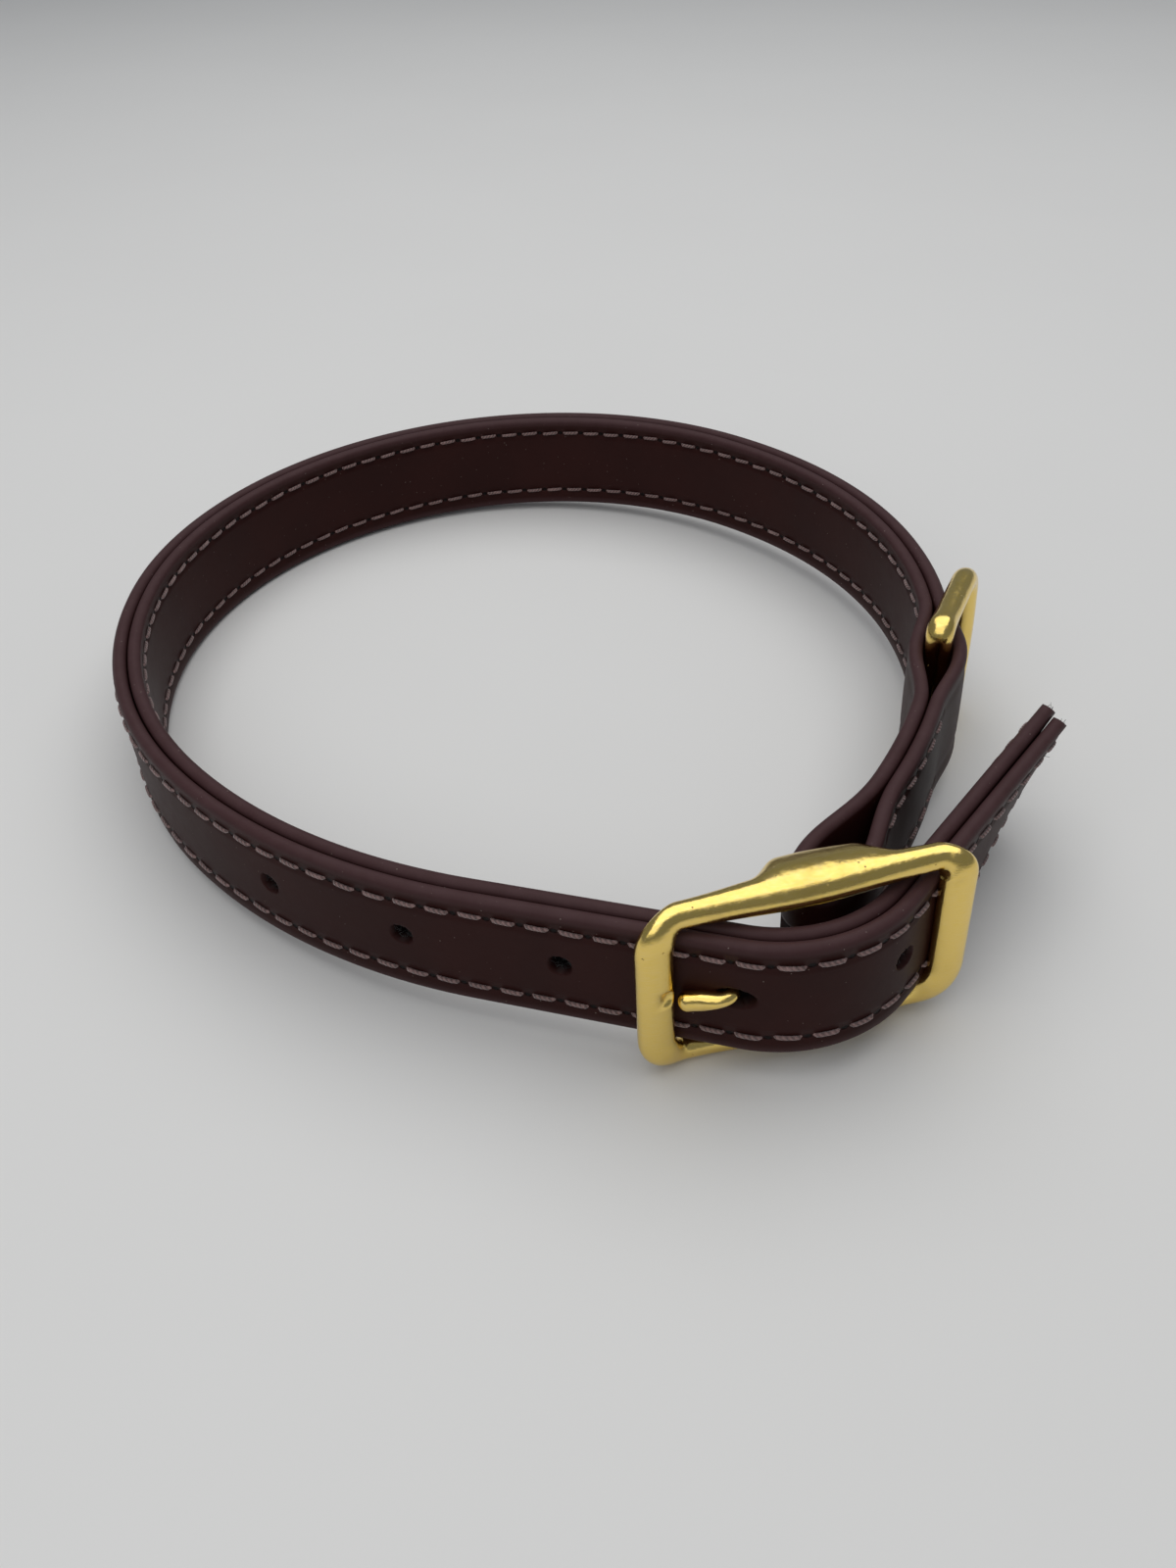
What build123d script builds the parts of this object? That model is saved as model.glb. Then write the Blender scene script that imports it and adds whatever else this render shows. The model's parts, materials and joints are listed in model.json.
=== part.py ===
"""A buckled two-ply dog collar: one coated webbing strap folded round the centre bar of a brass buckle,
sewn to itself along both edges, with a dee ring held between the plies.

Built level first, with the strap's lower edge at z = 0 and the buckle's centre bar standing at x = y = 0,
then laid down on its three resting points: the buckle, the dee ring and the far edge of the strap.
The groove is the line where the two plies meet.  It starts at the tail end and runs clockwise, seen from
above: tail, bend through the buckle, front, left, far side, right side, and the throat of the loop.
"""
import os
from math import atan2, cos, degrees, pi, radians, sin

from build123d import *

# Strap
STRAP_WIDTH = 22.2
PLY_THICKNESS = 2.6
PLY_GAP = 0.2  # between the sewn faces
CORE_THICKNESS = 1.1
CORE_WIDTH = 19.2
BOND_GAP = 0.05  # between the coating and the webbing core, and under the seam threads

# Course of the groove, seen from above
BEND_START = (11.7, -4.0)
TAIL_ANGLE = 50.1  # of the free tail, from +X
TAIL_LENGTH = 54.0
TWIST_START = 12.0  # of the tail's own twist, before the bend
TAIL_TWIST = 20.0  # at the tail end, its lower edge turned in
TWIST_SECTIONS = 4
BEND_RADIUS = 21.8
BEND_TURN = 67.8
FRONT_LENGTH = 41.6
FRONT_LEFT_RADIUS = 108.0
FRONT_LEFT_TURN = 32.3
LEFT_RADIUS = 89.0
LEFT_TURN = 41.6
FAR_RADIUS = 75.0
FAR_TURN = 130.3
THROAT = (15.3, 22.7)  # where the plies part to go round the centre bar
THROAT_ANGLE = -122.6
RIGHT_HANDLE = 50.4  # reach of the right side's curve at each end

# Adjustment holes
HOLE_DIAMETER = 3.4
HOLE_COUNT = 5
HOLE_PITCH = 25.4
FIRST_HOLE = 1.9  # from the start of the bend, along the groove
TONGUE_HOLE = 1  # the hole that the tongue is in
HOLE_RISE = 0.8  # above the strap's middle

# Seams
SEAM_LOWER_MARGIN = 3.9
SEAM_UPPER_MARGIN = 3.3
THREAD_WIDTH = 0.9
THREAD_THICKNESS = 0.4
SEAM_END_GAP = 3.0
SEAM_INTO_LOOP = 0.6  # share of the loop's outer side that is sewn on its own

# Buckle, in its own axes: u along the rails, n towards the front, z up
BUCKLE_ANGLE = 13.6  # of the rails, from +X
BAR_DIAMETER = 4.0
BAR_TO_CENTRE = (-2.7, 4.8)  # from the centre bar to the middle of the frame, along u and n
FRAME_LENGTH = 52.4
ROD_DIAMETER = 4.0
RAIL_CLEARANCE = 1.0  # between the strap's edges and the rails
SIDE_BAR_WIDTH = 6.2
SIDE_BAR_THICKNESS = 3.6
SIDE_BAR_ARCH = 3.4  # how far the side bars stand forward of the rails
CORNER_RISE = 0.6  # share of the arch that is reached half way round a corner
FRAME_CORNER_RADIUS = 6.0  # of the rod's centre line
SWELL_LENGTH = 36.0
SWELL_DEPTH = 8.4
SWELL_HEIGHT = 5.2
SWELL_SET_BACK = 1.0
LUG_LENGTH = 18.0
LUG_DEPTH = 6.4
LUG_HEIGHT = 5.0
LUG_FORWARD = 0.6  # of the centre bar
NOTCH_DIAMETER = 4.2

# Loop round the centre bar
LOOP_CLEARANCE = 0.3
LOOP_ENTRY_ANGLE = -50.0
LOOP_EXIT_ANGLE = -200.0
LOOP_HANDLE = 12.0

# Tongue
TONGUE_DIAMETER = 2.7
TONGUE_RUNNING_CLEARANCE = 0.08
TONGUE_EYE_WALL = 1.3
TONGUE_EYE_HEIGHT = 5.0
TONGUE_TIP_GAP = 0.5  # short of the left side bar
TONGUE_ROOM = 0.75  # round the tongue where it goes through the strap
TONGUE_DROOP = 1.5
SLOT_ROOM = 0.6  # above and below the tongue's eye, in the strap's slot

# Dee ring
RING_ROD = 4.5
RING_DEPTH = 22.2  # from the straight bar to the bow
RING_CORNER_RADIUS = 5.0
RING_BOW = 1.2
RING_EDGE_CLEARANCE = 0.9  # between the strap's edges and the ring's legs
RING_PLY_CLEARANCE = 0.35
RING_TO_THROAT = 38.7  # along the groove
RING_REST_ANGLE = 64.0  # the way it points, from +X
PARTING_LENGTH = 34.0  # of the bulge that the ring makes between the plies

STATION_STEP = 1.0
KNOT_STEP = 6.0
LOOP_STATIONS = 10

MIDDLE = STRAP_WIDTH / 2
HOLE_HEIGHT = MIDDLE + HOLE_RISE
PLY_OFFSET = (PLY_THICKNESS + PLY_GAP) / 2
RAIL_OFFSET = MIDDLE + RAIL_CLEARANCE + ROD_DIAMETER / 2
WRAP_RADIUS = BAR_DIAMETER / 2 + LOOP_CLEARANCE + PLY_THICKNESS / 2


def heading(angle):
    return Vector(cos(radians(angle)), sin(radians(angle)))


def bezier_points(start, start_angle, end, end_angle, reach, count):
    """Points and headings of a cubic curve that leaves and arrives at the given angles."""
    start_handle = start + heading(start_angle) * reach
    end_handle = end - heading(end_angle) * reach
    stations = []
    for i in range(count + 1):
        t = i / count
        point = (start * (1 - t) ** 3 + start_handle * (3 * t * (1 - t) ** 2)
                 + end_handle * (3 * t**2 * (1 - t)) + end * t**3)
        slope = ((start_handle - start) * (1 - t) ** 2 + (end_handle - start_handle) * (2 * t * (1 - t))
                 + (end - end_handle) * t**2)
        stations.append((point, degrees(atan2(slope.Y, slope.X))))
    return stations


def along_leg(start, start_angle, length, turn, distance):
    """Point and heading part of the way along a leg that turns clockwise by turn over its length."""
    turned = turn * distance / length
    half = radians(turned / 2)
    chord = distance * sin(half) / half if half else distance
    return start + heading(start_angle - turned / 2) * chord, start_angle - turned


def groove_legs():
    """(first distance, start, heading, length, turn) of each straight or round leg of the groove."""
    point = Vector(*BEND_START) + heading(TAIL_ANGLE) * TAIL_LENGTH
    angle = TAIL_ANGLE + 180.0
    distance = -TAIL_LENGTH
    legs = []
    for length, turn in [(TAIL_LENGTH, 0.0), (BEND_RADIUS * radians(BEND_TURN), BEND_TURN),
                         (FRONT_LENGTH, 0.0), (FRONT_LEFT_RADIUS * radians(FRONT_LEFT_TURN), FRONT_LEFT_TURN),
                         (LEFT_RADIUS * radians(LEFT_TURN), LEFT_TURN),
                         (FAR_RADIUS * radians(FAR_TURN), FAR_TURN)]:
        legs.append((distance, point, angle, length, turn))
        point, angle = along_leg(point, angle, length, turn, length)
        distance += length
    return legs


def right_side_stations():
    """(distance, point, heading) along the right side, from the far arc's end to the throat."""
    first, start, angle, length, turn = LEGS[-1]
    start, angle = along_leg(start, angle, length, turn, length)
    distance = first + length
    throat = Vector(*THROAT)
    count = round((throat - start).length / STATION_STEP)
    stations = []
    previous = start
    for point, angle in bezier_points(start, angle, throat, THROAT_ANGLE, RIGHT_HANDLE, count):
        distance += (point - previous).length
        stations.append((distance, point, angle))
        previous = point
    return stations


LEGS = groove_legs()
RIGHT_SIDE = right_side_stations()
RIGHT_START = RIGHT_SIDE[0][0]
THROAT_DISTANCE = RIGHT_SIDE[-1][0]
RING_DISTANCE = THROAT_DISTANCE - RING_TO_THROAT


def groove_at(distance):
    """Point and heading at a distance along the groove; 0 is the start of the bend."""
    if distance <= RIGHT_START:
        first, start, angle, length, turn = [leg for leg in LEGS if leg[0] <= distance][-1]
        return along_leg(start, angle, length, turn, distance - first)
    after = next((i for i, station in enumerate(RIGHT_SIDE) if station[0] >= distance), len(RIGHT_SIDE) - 1)
    (before_at, before, before_angle), (after_at, after, after_angle) = RIGHT_SIDE[after - 1:after + 1]
    share = (distance - before_at) / (after_at - before_at)
    return before + (after - before) * share, before_angle + (after_angle - before_angle) * share


def parting(distance):
    """How far each ply stands off the groove where the ring's straight bar lies between them."""
    reach = abs(distance - RING_DISTANCE) / (PARTING_LENGTH / 2)
    if reach >= 1:
        return 0.0
    return (RING_ROD / 2 + RING_PLY_CLEARANCE - PLY_GAP / 2) * (1 + cos(pi * reach)) / 2


def beside_groove(distance, offset):
    """The point at an offset from the groove, positive on the outside of the collar."""
    point, angle = groove_at(distance)
    return point + heading(angle + 90.0) * offset


def ply_leg(side, first, last, stand_off):
    """A straight or round edge of a ply's centre line, within one leg of the groove."""
    ends = [beside_groove(d, side * (PLY_OFFSET + stand_off)) for d in (first, (first + last) / 2, last)]
    if groove_at(first)[1] == groove_at(last)[1]:
        return Line(ends[0], ends[2])
    return ThreePointArc(*ends)


def ply_right_side(side, first, last, stand_off):
    """The right side's edge of a ply's centre line, bulging round the ring's straight bar."""
    count = max(2, round((last - first) / KNOT_STEP))
    knots = []
    for i in range(count + 1):
        distance = first + (last - first) * i / count
        knots.append(beside_groove(distance, side * (PLY_OFFSET + parting(distance) + stand_off)))
    return Spline(*knots, tangents=[heading(groove_at(d)[1]) for d in (first, last)])


def ply_edges(side, first, last, stand_off=0.0):
    """Centre line of a ply from one distance to another: side +1 is the outer ply, -1 the inner."""
    edges = []
    for leg_first, _, _, length, _ in LEGS:
        start, end = max(first, leg_first), min(last, leg_first + length)
        if end > start:
            edges.append(ply_leg(side, start, end, stand_off))
    if last > RIGHT_START:
        edges.append(ply_right_side(side, max(first, RIGHT_START), last, stand_off))
    return edges


def loop_edge(side, share=1.0, stand_off=0.0):
    """One side of the loop, from the throat to where it meets the wrap, or a share of the way there.

    stand_off moves it off the ply's centre line, positive away from the other side of the loop."""
    start = beside_groove(THROAT_DISTANCE, side * PLY_OFFSET)
    wrap_angle = LOOP_ENTRY_ANGLE if side > 0 else LOOP_EXIT_ANGLE
    end = heading(wrap_angle) * WRAP_RADIUS
    arrival = wrap_angle - 90.0 * side
    curve = bezier_points(start, THROAT_ANGLE, end, arrival, LOOP_HANDLE, LOOP_STATIONS)
    curve = curve[:round(share * LOOP_STATIONS) + 1]
    knots = [point + heading(angle + 90.0) * (side * stand_off) for point, angle in curve]
    return Spline(*knots, tangents=[heading(curve[0][1]), heading(curve[-1][1])])


def strap_spine():
    """Centre line of the strap up to the tail's twist: outer ply, loop round the centre bar, inner ply."""
    ends_and_crown = (LOOP_ENTRY_ANGLE, (LOOP_ENTRY_ANGLE + LOOP_EXIT_ANGLE) / 2, LOOP_EXIT_ANGLE)
    wrap = ThreePointArc(*(heading(angle) * WRAP_RADIUS for angle in ends_and_crown))
    outer_ply = ply_edges(+1, -TWIST_START, THROAT_DISTANCE) + [loop_edge(+1)]
    inner_ply = ply_edges(-1, -TWIST_START, THROAT_DISTANCE) + [loop_edge(-1)]
    return Wire(outer_ply + [wrap] + inner_ply)


def swept(section, path, z):
    """A section, drawn with its width along X, carried on edge along a level path at height z."""
    plane = Plane(origin=path @ 0 + Vector(0, 0, z), x_dir=(0, 0, 1), z_dir=path % 0)
    return sweep(plane * section, path=path.moved(Location((0, 0, z))))


def tail_plane(distance, offset, height):
    """A section's plane across the tail, turned about the groove's upper edge by the tail's twist."""
    point, angle = groove_at(distance)
    share = max(0.0, (-TWIST_START - distance) / (TAIL_LENGTH - TWIST_START))
    lean = radians(TAIL_TWIST * share)
    outward = heading(angle + 90.0)
    upright = Vector(0, 0, 1)
    across = outward * cos(lean) - upright * sin(lean)
    up = upright * cos(lean) + outward * sin(lean)
    centre = point + upright * STRAP_WIDTH + across * offset - up * (STRAP_WIDTH - height)
    return Plane(origin=centre, x_dir=up, z_dir=heading(angle))


def twisted_tail(section, offset, height, first):
    """A section carried along the twisted part of the tail, from first to the start of the twist."""
    sections = []
    for i in range(TWIST_SECTIONS + 1):
        distance = first + (-TWIST_START - first) * i / TWIST_SECTIONS
        sections.append(tail_plane(distance, offset, height) * section)
    return loft(sections)


def hole_cutter(distance):
    point, angle = groove_at(distance)
    plane = Plane(origin=point + Vector(0, 0, HOLE_HEIGHT), z_dir=heading(angle + 90.0))
    return plane * Cylinder(HOLE_DIAMETER / 2, 4 * PLY_THICKNESS)


def strap_openings(tongue_room):
    """Everything cut through the strap: the empty holes, the tongue's way and the slot for its eye."""
    empty_holes = [i for i in range(HOLE_COUNT) if i != TONGUE_HOLE]
    cutters = [hole_cutter(FIRST_HOLE + i * HOLE_PITCH) for i in empty_holes]
    slot_height = TONGUE_EYE_HEIGHT + 2 * SLOT_ROOM
    slot_reach = BAR_DIAMETER / 2 + LOOP_CLEARANCE + 2 * PLY_THICKNESS
    slot = Pos(0, 0, HOLE_HEIGHT) * Cylinder(slot_reach, slot_height)
    return cutters + [slot, tongue_room]


def strap_layer(section):
    """A section carried along the whole strap, both twisted tail plies included."""
    layer = swept(section, strap_spine(), MIDDLE)
    for side in (+1, -1):
        layer += twisted_tail(section, side * PLY_OFFSET, MIDDLE, -TAIL_LENGTH)
    return layer


def make_strap(tongue_room):
    """The coating, hollow for the core, and the core inside it."""
    cutters = strap_openings(tongue_room)
    whole = strap_layer(SlotOverall(STRAP_WIDTH, PLY_THICKNESS))
    hollow = strap_layer(Rectangle(CORE_WIDTH + 2 * BOND_GAP, CORE_THICKNESS + 2 * BOND_GAP))
    core = strap_layer(Rectangle(CORE_WIDTH, CORE_THICKNESS))
    return whole - hollow - cutters, core - cutters


def make_seam(side, height, first, last):
    """One thread run, lying on the face of a ply; the short run's outer thread goes on into the loop."""
    stand_off = PLY_THICKNESS / 2 + BOND_GAP + THREAD_THICKNESS / 2
    section = Rectangle(THREAD_WIDTH, THREAD_THICKNESS)
    edges = ply_edges(side, max(first, -TWIST_START), last, stand_off)
    if side > 0 and last == THROAT_DISTANCE:
        edges.append(loop_edge(side, SEAM_INTO_LOOP, stand_off))
    seam = swept(section, Wire(edges), height)
    if first < -TWIST_START:
        seam += twisted_tail(section, side * (PLY_OFFSET + stand_off), height, first)
    return seam


def make_seams():
    """Each edge is sewn in two runs, one each side of the ring, with a thread on each face."""
    ring_side = PARTING_LENGTH / 2 - SEAM_END_GAP
    runs = {"long": (-TAIL_LENGTH + SEAM_END_GAP, RING_DISTANCE - ring_side),
            "short": (RING_DISTANCE + ring_side, THROAT_DISTANCE)}
    heights = {"upper": STRAP_WIDTH - SEAM_UPPER_MARGIN, "lower": SEAM_LOWER_MARGIN}
    faces = {"outer": +1, "inner": -1}
    seams = {}
    for run, (first, last) in runs.items():
        for edge, height in heights.items():
            for face, side in faces.items():
                seams[f"seam_{run}_{edge}_{face}"] = make_seam(side, height, first, last)
    return seams


def ellipsoid(length, depth, height):
    return scale(Sphere(0.5), by=(length, depth, height))


def in_buckle(u, n, z):
    """A point in the buckle's axes, as a point of the level frame; z is from the strap's middle."""
    return heading(BUCKLE_ANGLE) * u + heading(BUCKLE_ANGLE - 90.0) * n + Vector(0, 0, z)


def make_rail(side):
    """The upper (+1) or lower (-1) rail, with its swelling and the lug behind it."""
    centre_u, centre_n = BAR_TO_CENTRE
    reach = FRAME_LENGTH / 2 - SIDE_BAR_WIDTH / 2 - FRAME_CORNER_RADIUS
    level = side * RAIL_OFFSET
    rail = Plane(origin=in_buckle(centre_u - reach, centre_n, level), z_dir=heading(BUCKLE_ANGLE)) * Cylinder(
        ROD_DIAMETER / 2, 2 * reach, align=(Align.CENTER, Align.CENTER, Align.MIN))
    turned = Rot(0, 0, BUCKLE_ANGLE)
    swell = Pos(in_buckle(0, centre_n - SWELL_SET_BACK, level))
    rail += swell * turned * ellipsoid(SWELL_LENGTH, SWELL_DEPTH, SWELL_HEIGHT)
    rail += Pos(in_buckle(0, LUG_FORWARD, level)) * turned * ellipsoid(LUG_LENGTH, LUG_DEPTH, LUG_HEIGHT)
    return rail


def make_frame_end(hand):
    """The left (-1) or right (+1) end: two corners and a flat oval side bar, arched forward over the strap."""
    centre_u, centre_n = BAR_TO_CENTRE
    end = FRAME_LENGTH / 2 - SIDE_BAR_WIDTH / 2
    bend = FRAME_CORNER_RADIUS
    slant = bend * (1 - cos(radians(45)))
    quarter = [(bend, 0, 0), (slant, slant, CORNER_RISE * SIDE_BAR_ARCH), (0, bend, SIDE_BAR_ARCH)]
    knots = [in_buckle(centre_u + hand * (end - inset), centre_n + rise, side * (RAIL_OFFSET - drop))
             for side, points in ((+1, quarter), (-1, quarter[::-1])) for inset, drop, rise in points]
    along = heading(BUCKLE_ANGLE) * hand
    path = Wire([Spline(*knots, tangents=[along, -along])])
    rod = sweep(Plane(origin=path @ 0, z_dir=path % 0) * Circle(ROD_DIAMETER / 2), path=path)
    bar = extrude(Ellipse(SIDE_BAR_WIDTH / 2, SIDE_BAR_THICKNESS / 2), RAIL_OFFSET - bend, both=True)
    centre = in_buckle(centre_u + hand * end, centre_n + SIDE_BAR_ARCH, 0)
    return rod + Pos(centre) * Rot(0, 0, BUCKLE_ANGLE) * bar


def make_buckle_frame():
    """Window frame with swelled rails, arched side bars and a centre bar carried on lugs behind the rails."""
    frame = make_rail(+1) + make_rail(-1) + make_frame_end(-1) + make_frame_end(+1)
    frame += Cylinder(BAR_DIAMETER / 2, 2 * RAIL_OFFSET)
    centre_u, centre_n = BAR_TO_CENTRE
    notch_at = in_buckle(centre_u - FRAME_LENGTH / 2 + SIDE_BAR_WIDTH,
                         centre_n + SIDE_BAR_ARCH + SIDE_BAR_THICKNESS / 2 + NOTCH_DIAMETER / 4, HOLE_RISE)
    frame -= Plane(origin=notch_at, z_dir=heading(BUCKLE_ANGLE)) * Cylinder(NOTCH_DIAMETER / 2, SIDE_BAR_WIDTH)
    return Pos(0, 0, MIDDLE) * frame


def tongue_path():
    """From the eye, through the hole, to the tip short of the left side bar; n forward is -Y here."""
    hole, angle = groove_at(FIRST_HOLE + TONGUE_HOLE * HOLE_PITCH)
    outward = heading(angle + 90.0)
    hole = hole + Vector(0, 0, HOLE_HEIGHT)
    back_of_hole = hole - outward * PLY_THICKNESS
    front_of_hole = hole + outward * PLY_THICKNESS
    along = heading(BUCKLE_ANGLE)
    forward = heading(BUCKLE_ANGLE - 90.0)
    tip_u = BAR_TO_CENTRE[0] - FRAME_LENGTH / 2 + SIDE_BAR_WIDTH + TONGUE_TIP_GAP + TONGUE_DIAMETER / 2
    tip_n = BAR_TO_CENTRE[1] + SIDE_BAR_ARCH + SIDE_BAR_THICKNESS / 2
    tip = along * tip_u + forward * tip_n + Vector(0, 0, HOLE_HEIGHT - TONGUE_DROOP)
    eye_radius = BAR_DIAMETER / 2 + TONGUE_RUNNING_CLEARANCE + TONGUE_EYE_WALL / 2
    start = forward * eye_radius + Vector(0, 0, HOLE_HEIGHT)
    return Wire([Spline(start, back_of_hole, front_of_hole, tip, tangents=[-along, tip - front_of_hole])])


def round_bar(path, diameter):
    """A round bar along a path, with round ends."""
    bar = sweep(Plane(origin=path @ 0, z_dir=path % 0) * Circle(diameter / 2), path=path)
    return bar + Pos(path @ 1) * Sphere(diameter / 2)


def make_tongue():
    """The tongue with its eye round the centre bar, and the room that it needs in the strap."""
    path = tongue_path()
    bore = BAR_DIAMETER / 2 + TONGUE_RUNNING_CLEARANCE
    eye = Pos(0, 0, HOLE_HEIGHT) * Cylinder(bore + TONGUE_EYE_WALL, TONGUE_EYE_HEIGHT)
    eye = fillet(eye.edges(), TONGUE_EYE_WALL / 2)
    tongue = eye + round_bar(path, TONGUE_DIAMETER)
    tongue -= Pos(0, 0, HOLE_HEIGHT) * Cylinder(bore, 2 * TONGUE_EYE_HEIGHT)
    return tongue, round_bar(path, TONGUE_DIAMETER + 2 * TONGUE_ROOM)


def ring_place():
    point = groove_at(RING_DISTANCE)[0]
    return Pos(point.X, point.Y, MIDDLE) * Rot(0, 0, RING_REST_ANGLE)


def make_ring():
    """A dee: straight bar, two legs and a bow, all of one round rod."""
    leg_height = MIDDLE + RING_EDGE_CLEARANCE + RING_ROD / 2
    bend = RING_CORNER_RADIUS
    slant = bend * (1 - cos(radians(45)))
    lower, upper = -leg_height, leg_height
    far = RING_DEPTH - RING_BOW
    with BuildLine(Plane.XZ) as rod:
        Polyline((far - bend, upper), (0, upper), (0, lower), (far - bend, lower))
        ThreePointArc((far - bend, lower), (far - slant, lower + slant), (far, lower + bend))
        ThreePointArc((far, lower + bend), (RING_DEPTH, 0), (far, upper - bend))
        ThreePointArc((far, upper - bend), (far - slant, upper - slant), (far - bend, upper))
    path = rod.wire()
    section = Plane(origin=(far - bend, 0, upper), z_dir=(-1, 0, 0)) * Circle(RING_ROD / 2)
    return ring_place() * sweep(section, path=path, transition=Transition.ROUND)


def resting_plane():
    """The plane through the buckle's and the ring's lowest points and the strap's farthest edge."""
    buckle_low = in_buckle(0, BAR_TO_CENTRE[1] - SWELL_SET_BACK, MIDDLE - RAIL_OFFSET - SWELL_HEIGHT / 2)
    ring_low = (ring_place() * Pos(RING_DEPTH / 2, 0, -MIDDLE - RING_EDGE_CLEARANCE - RING_ROD)).position
    base = ring_low - buckle_low
    points = [groove_at(-TAIL_LENGTH + i * STATION_STEP)[0] for i in range(round(RIGHT_START + TAIL_LENGTH))]
    far_edge = max(points, key=lambda p: base.X * (p.Y - buckle_low.Y) - base.Y * (p.X - buckle_low.X))
    normal = base.cross(far_edge - buckle_low)
    return Plane(origin=buckle_low, x_dir=Vector(1, 0, 0) - normal * (normal.X / normal.dot(normal)), z_dir=normal)


def make_level():
    """Every node, standing level."""
    tongue, tongue_room = make_tongue()
    coating, core = make_strap(tongue_room)
    nodes = {"strap_coating": coating, "webbing_core": core}
    nodes.update(make_seams())
    nodes.update({"buckle_frame": make_buckle_frame(), "buckle_tongue": tongue, "dee_ring": make_ring()})
    return nodes


def lay_down(nodes):
    """Tip the level collar onto its resting points, centred on the origin with its lowest point at z = 0."""
    plane = resting_plane()
    tipped = {name: plane.to_local_coords(shape) for name, shape in nodes.items()}
    box = Compound(list(tipped.values())).bounding_box()
    shift = Vector(-box.center().X, -box.center().Y, -box.min.Z)
    return {name: Pos(shift) * shape for name, shape in tipped.items()}


def main():
    os.makedirs("parts", exist_ok=True)
    for name, shape in lay_down(make_level()).items():
        export_step(shape, f"parts/{name}.step")


main()
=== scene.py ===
"""Looks of a buckled two-ply collar: coated webbing, twisted stitches, cut ends, brass buckle and dee ring.

Lengths inside the shape functions are millimetres in the level frame: origin on the buckle's centre bar at the
strap's lower edge, z up the strap.  place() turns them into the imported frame, in metres.
"""
import json

import bmesh
import bpy
import numpy as np
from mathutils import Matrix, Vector


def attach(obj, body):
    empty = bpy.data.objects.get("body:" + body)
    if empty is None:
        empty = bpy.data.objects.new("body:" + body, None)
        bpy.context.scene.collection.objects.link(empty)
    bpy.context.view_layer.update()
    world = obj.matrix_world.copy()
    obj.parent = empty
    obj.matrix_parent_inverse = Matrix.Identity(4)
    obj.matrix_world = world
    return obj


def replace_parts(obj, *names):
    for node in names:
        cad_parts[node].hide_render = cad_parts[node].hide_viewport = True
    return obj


bl_info = {
    "name": "Buckle collar looks",
    "version": (1, 0, 0),
    "blender": (4, 5, 0),
    "location": "View3D > Sidebar > Collar",
    "description": "Detailed surfaces and finishes for a stitched webbing collar",
    "category": "Add Mesh",
}

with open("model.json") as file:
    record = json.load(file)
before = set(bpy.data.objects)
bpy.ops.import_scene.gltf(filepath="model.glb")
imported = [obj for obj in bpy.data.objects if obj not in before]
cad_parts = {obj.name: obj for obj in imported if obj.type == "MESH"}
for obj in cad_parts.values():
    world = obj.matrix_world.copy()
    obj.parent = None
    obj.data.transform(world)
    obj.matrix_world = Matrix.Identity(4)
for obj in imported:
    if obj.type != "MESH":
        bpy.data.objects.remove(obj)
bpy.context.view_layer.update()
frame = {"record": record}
JOINTS = {joint["name"]: joint for joint in frame["record"]["behaviour"]["joints"]}

# The level frame, as three unit vectors and the middle of the centre bar
UP = np.array(JOINTS["buckle_rock"]["axis"], float)
UP /= np.linalg.norm(UP)
EAST = np.cross((0.0, 1.0, 0.0), UP)
EAST /= np.linalg.norm(EAST)
NORTH = np.cross(UP, EAST)
BAR = np.array(JOINTS["buckle_rock"]["pos_m"], float)

# Strap
WIDTH = 22.2
MIDDLE = WIDTH / 2
PLY = 2.6
PLY_OFFSET = 1.4  # from the groove to a ply's middle
TAIL_START = -54.0
SNIP = 1.5  # off the upper corner of each cut end
END_SHARES = (0.06, 0.30, 0.36, 0.85)
END_DEPTHS = (0.0, 0.0, 0.22, 0.25)
END_ROUGH = (0.0, 0.05, 0.12, 0.14)
END_YARN = (0.0, 0.0, 1.0, 1.0)
TWIST_START = -12.0
TAIL_TWIST = np.radians(20.0)
BEND_START = (11.7, -4.0)
TAIL_HEADING = 230.1
# (length, clockwise turn in degrees) of each leg of the groove, from the tail end
LEGS = [(54.0, 0.0), (25.797, 67.8), (41.6, 0.0), (60.884, 32.3), (64.618, 41.6), (170.562, 130.3)]
THROAT = (15.3, 22.7)
THROAT_HEADING = -122.6
RIGHT_HANDLE = 50.4
PARTING_LENGTH = 34.0
PARTING = 2.5
RING_TO_THROAT = 38.7
HOLES = [1.9, 27.3, 52.7, 78.1, 103.5]
TONGUE_HOLE = 1
HOLE_HEIGHT = MIDDLE + 0.8
HOLE_RADIUS = 1.7
LOOP_RADIUS = 3.6
LOOP_ENTRY = -50.0
LOOP_EXIT = -200.0
LOOP_HANDLE = 12.0
WRAP_S = 25.0  # past the throat: the distance that every station on the wrap is given
OUTER_CUT_BACK = 1.1  # the outer ply ends this much before the inner one
HOLE_WELL = 2.15  # depth of a hole from the show face
SLOT_HALF_HEIGHT = 3.1  # of the wrap's slot for the tongue's eye
FURROW = 0.14  # depth of the line that each seam draws in

# Seams
SEAM_HEIGHTS = {"lower": 3.9, "upper": WIDTH - 3.3}
STITCH_PITCH = 5.213
STITCH_START = -51.0
LONG_END = 449.4
SHORT_START = 477.4

# Buckle, in its own axes: u along the rails, n towards the front
BUCKLE_ANGLE = 13.6
FRAME_CENTRE = (-3.5, 4.2)
RAIL_OFFSET = 14.0
SIDE_REACH = 23.1
CORNERS = (2.9, 7.0, 5.4, 4.6)  # clockwise from the top right
ARCH = 1.7
SIDE_HALF_WIDTH = 2.85
SIDE_HALF_DEPTH = 1.75
RAIL_HALF = 2.0
BAR_RADIUS = 2.0
EYE_MIDDLE = 2.73  # radius to the middle of the tongue eye's wall

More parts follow.
